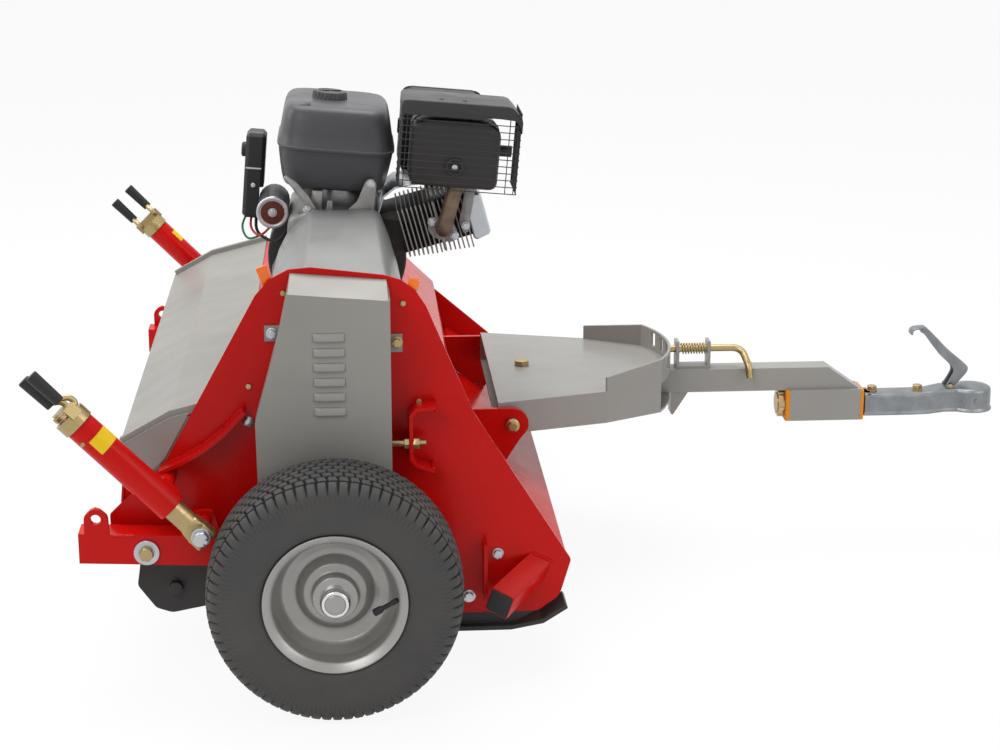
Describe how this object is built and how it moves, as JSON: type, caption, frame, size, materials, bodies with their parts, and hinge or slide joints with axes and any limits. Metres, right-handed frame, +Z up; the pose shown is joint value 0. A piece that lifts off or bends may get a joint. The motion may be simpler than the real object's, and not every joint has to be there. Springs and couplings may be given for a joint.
{
  "type": "tow-behind brush mower",
  "caption": "Tow-behind flail mower with a petrol engine, two crank-height wheel arms, a swinging drawbar and a ball coupler.",
  "frame": {"origin": "on the ground under the middle of the machine's overall length and width", "axes": "+X forwards along the drawbar to the coupler, +Y to the machine's left, +Z up; the wheel axle lies at X -0.396 m"},
  "size_m": [1.7702, 1.725, 0.9164],
  "materials": {
    "red_paint": "gloss",
    "grey_paint": "satin",
    "black_paint": "satin",
    "black_plastic": "satin",
    "tyre_rubber": "matte",
    "rim_silver": "satin",
    "bright_zinc": "bright",
    "yellow_zinc": "bright",
    "cast_aluminium": "cast",
    "turned_steel": "satin",
    "orange_nylon": "satin",
    "belt_rubber": "matte"
  },
  "bodies": {
    "chassis": {"side_plate_right": "red_paint", "side_plate_left": "red_paint", "deck_shell": "red_paint", "front_apron": "red_paint", "rear_hood": "grey_paint", "hitch_ear_right": "red_paint", "hitch_ear_left": "red_paint", "hitch_pin_right": "yellow_zinc", "hitch_pin_left": "yellow_zinc", "engine_block": "cast_aluminium", "rocker_cover": "bright_zinc", "recoil_housing": "black_plastic", "fuel_tank": "black_plastic", "muffler": "black_paint", "muffler_guard": "black_paint", "air_cleaner": "black_plastic", "starter_motor": "turned_steel", "control_box": "black_plastic", "shaft_guard": "grey_paint", "belt_cover": "grey_paint", "drive_belt": "belt_rubber", "tension_bracket": "red_paint", "tension_bolt": "yellow_zinc", "roller_bracket_right": "black_paint", "roller_bracket_left": "black_paint", "skid_right": "black_paint", "skid_left": "black_paint"},
    "arm_right": {"wheel_arm_right": "red_paint"},
    "arm_left": {"wheel_arm_left": "red_paint"},
    "wheel_right": {"tyre_right": "tyre_rubber", "rim_right": "rim_silver"},
    "wheel_left": {"tyre_left": "tyre_rubber", "rim_left": "rim_silver"},
    "jack_tube_right": {"jack_tube_right": "red_paint"},
    "jack_tube_left": {"jack_tube_left": "red_paint"},
    "jack_screw_right": {"jack_screw_right": "yellow_zinc"},
    "jack_screw_left": {"jack_screw_left": "yellow_zinc"},
    "crank_head_right": {"crank_head_right": "yellow_zinc"},
    "crank_head_left": {"crank_head_left": "yellow_zinc"},
    "crank_handle_a_right": {"crank_handle_a_right": "black_plastic"},
    "crank_handle_b_right": {"crank_handle_b_right": "black_plastic"},
    "crank_handle_a_left": {"crank_handle_a_left": "black_plastic"},
    "crank_handle_b_left": {"crank_handle_b_left": "black_plastic"},
    "rotor": {"rotor": "turned_steel", "rotor_pulley": "turned_steel"},
    "drive_pulley": {"drive_pulley": "turned_steel"},
    "idler_pulley": {"idler_pulley": "turned_steel"},
    "rear_roller": {"rear_roller": "black_paint"},
    "a_frame": {"a_frame": "grey_paint", "swing_bolt": "yellow_zinc"},
    "tongue": {"tongue": "grey_paint", "swivel_bush": "orange_nylon", "index_spring": "bright_zinc"},
    "index_pin": {"index_pin": "yellow_zinc"},
    "coupler": {"swivel_shaft": "yellow_zinc", "coupler_body": "bright_zinc"},
    "coupler_lever": {"coupler_lever": "bright_zinc"},
    "fuel_cap": {"fuel_cap": "black_plastic"},
    "recoil_handle": {"recoil_handle": "black_plastic"},
    "throttle_lever": {"throttle_lever": "black_paint"}
  },
  "joints": [
    {"name": "arm_right_lift", "type": "hinge", "parent": "chassis", "child": "arm_right", "pos_m": [-0.698, -0.661, 0.238], "axis": [0, 1, 0], "range_deg": [-12, 13]},
    {"name": "arm_left_lift", "type": "hinge", "parent": "chassis", "child": "arm_left", "pos_m": [-0.698, 0.661, 0.238], "axis": [0, 1, 0], "range_deg": [-12, 13]},
    {"name": "wheel_right_spin", "type": "hinge", "parent": "arm_right", "child": "wheel_right", "pos_m": [-0.396, -0.78, 0.2033], "axis": [0, 1, 0], "continuous": true},
    {"name": "wheel_left_spin", "type": "hinge", "parent": "arm_left", "child": "wheel_left", "pos_m": [-0.396, 0.78, 0.2033], "axis": [0, 1, 0], "continuous": true},
    {"name": "jack_right_tilt", "type": "hinge", "parent": "chassis", "child": "jack_tube_right", "pos_m": [-0.66388, -0.748, 0.34791], "axis": [0, 1, 0], "range_deg": [-5, 5.5]},
    {"name": "jack_left_tilt", "type": "hinge", "parent": "chassis", "child": "jack_tube_left", "pos_m": [-0.66388, 0.748, 0.34791], "axis": [0, 1, 0], "range_deg": [-5, 5.5]},
    {"name": "jack_screw_right_slide", "type": "slide", "parent": "jack_tube_right", "child": "jack_screw_right", "axis": [0.7009, 0, -0.7132], "range_m": [-0.0225, 0.0245]},
    {"name": "jack_screw_left_slide", "type": "slide", "parent": "jack_tube_left", "child": "jack_screw_left", "axis": [0.7009, 0, -0.7132], "range_m": [-0.0225, 0.0245]},
    {"name": "crank_right_spin", "type": "hinge", "parent": "jack_tube_right", "child": "crank_head_right", "pos_m": [-0.78654, -0.748, 0.47273], "axis": [-0.7009, 0, 0.7132], "range_deg": [-1290, 1400]},
    {"name": "crank_left_spin", "type": "hinge", "parent": "jack_tube_left", "child": "crank_head_left", "pos_m": [-0.78654, 0.748, 0.47273], "axis": [-0.7009, 0, 0.7132], "range_deg": [-1290, 1400]},
    {"name": "handle_a_right_fold", "type": "hinge", "parent": "crank_head_right", "child": "crank_handle_a_right", "pos_m": [-0.79757, -0.7652, 0.50115], "axis": [0.5843, 0.5736, 0.5741], "range_deg": [0, 90]},
    {"name": "handle_b_right_fold", "type": "hinge", "parent": "crank_head_right", "child": "crank_handle_b_right", "pos_m": [-0.81475, -0.7308, 0.48426], "axis": [0.5843, 0.5736, 0.5741], "range_deg": [-90, 0]},
    {"name": "handle_a_left_fold", "type": "hinge", "parent": "crank_head_left", "child": "crank_handle_a_left", "pos_m": [-0.79141, 0.75165, 0.5072], "axis": [0.1238, -0.9848, 0.1217], "range_deg": [-90, 0]},
    {"name": "handle_b_left_fold", "type": "hinge", "parent": "crank_head_left", "child": "crank_handle_b_left", "pos_m": [-0.82091, 0.74435, 0.47821], "axis": [0.1238, -0.9848, 0.1217], "range_deg": [0, 90]},
    {"name": "rotor_spin", "type": "hinge", "parent": "chassis", "child": "rotor", "pos_m": [-0.401, 0, 0.235], "axis": [0, 1, 0], "continuous": true},
    {"name": "drive_pulley_spin", "type": "hinge", "parent": "chassis", "child": "drive_pulley", "pos_m": [-0.386, -0.652, 0.585], "axis": [0, 1, 0], "continuous": true},
    {"name": "idler_spin", "type": "hinge", "parent": "chassis", "child": "idler_pulley", "pos_m": [-0.48025, -0.652, 0.402], "axis": [0, 1, 0], "continuous": true},
    {"name": "roller_spin", "type": "hinge", "parent": "chassis", "child": "rear_roller", "pos_m": [-0.658, 0, 0.157], "axis": [0, 1, 0], "continuous": true},
    {"name": "frame_float", "type": "hinge", "parent": "chassis", "child": "a_frame", "pos_m": [-0.076, 0, 0.312], "axis": [0, 1, 0], "range_deg": [-20, 0]},
    {"name": "tongue_swing", "type": "hinge", "parent": "a_frame", "child": "tongue", "pos_m": [-0.038, 0, 0.35], "axis": [0, 0, 1], "range_deg": [-20, 20]},
    {"name": "index_pin_slide", "type": "slide", "parent": "tongue", "child": "index_pin", "axis": [1, 0, 0], "range_m": [0, 0.02], "stiffness_N_per_m": 400, "springref_m": -0.01, "deforming": ["index_spring"]},
    {"name": "coupler_roll", "type": "hinge", "parent": "tongue", "child": "coupler", "pos_m": [0.6265, 0, 0.2653], "axis": [1, 0, 0], "continuous": true},
    {"name": "coupler_latch", "type": "hinge", "parent": "coupler", "child": "coupler_lever", "pos_m": [0.798, 0, 0.2955], "axis": [0, 1, 0], "range_deg": [-45, 0]},
    {"name": "fuel_cap_turn", "type": "hinge", "parent": "chassis", "child": "fuel_cap", "pos_m": [-0.39305, -0.18, 0.8945], "axis": [0.0872, 0, 0.9962], "range_deg": [0, 90]},
    {"name": "recoil_pull", "type": "slide", "parent": "chassis", "child": "recoil_handle", "axis": [-0.528, 0, 0.8493], "range_m": [0, 0.4]},
    {"name": "throttle_turn", "type": "hinge", "parent": "chassis", "child": "throttle_lever", "pos_m": [-0.31402, 0.0648, 0.66202], "axis": [0, 1, 0], "range_deg": [-30, 30]}
  ],
  "couplings": [
    {"joint": "jack_right_tilt", "follows": "arm_right_lift", "ratio": 0.3515},
    {"joint": "jack_left_tilt", "follows": "arm_left_lift", "ratio": 0.3515},
    {"joint": "jack_screw_right_slide", "follows": "arm_right_lift", "m_per_rad": 0.1014},
    {"joint": "jack_screw_left_slide", "follows": "arm_left_lift", "m_per_rad": 0.1014},
    {"joint": "crank_right_spin", "follows": "arm_right_lift", "ratio": 106.2},
    {"joint": "crank_left_spin", "follows": "arm_left_lift", "ratio": 106.2},
    {"joint": "drive_pulley_spin", "follows": "rotor_spin", "ratio": 0.79},
    {"joint": "idler_spin", "follows": "rotor_spin", "ratio": -1.885}
  ]
}
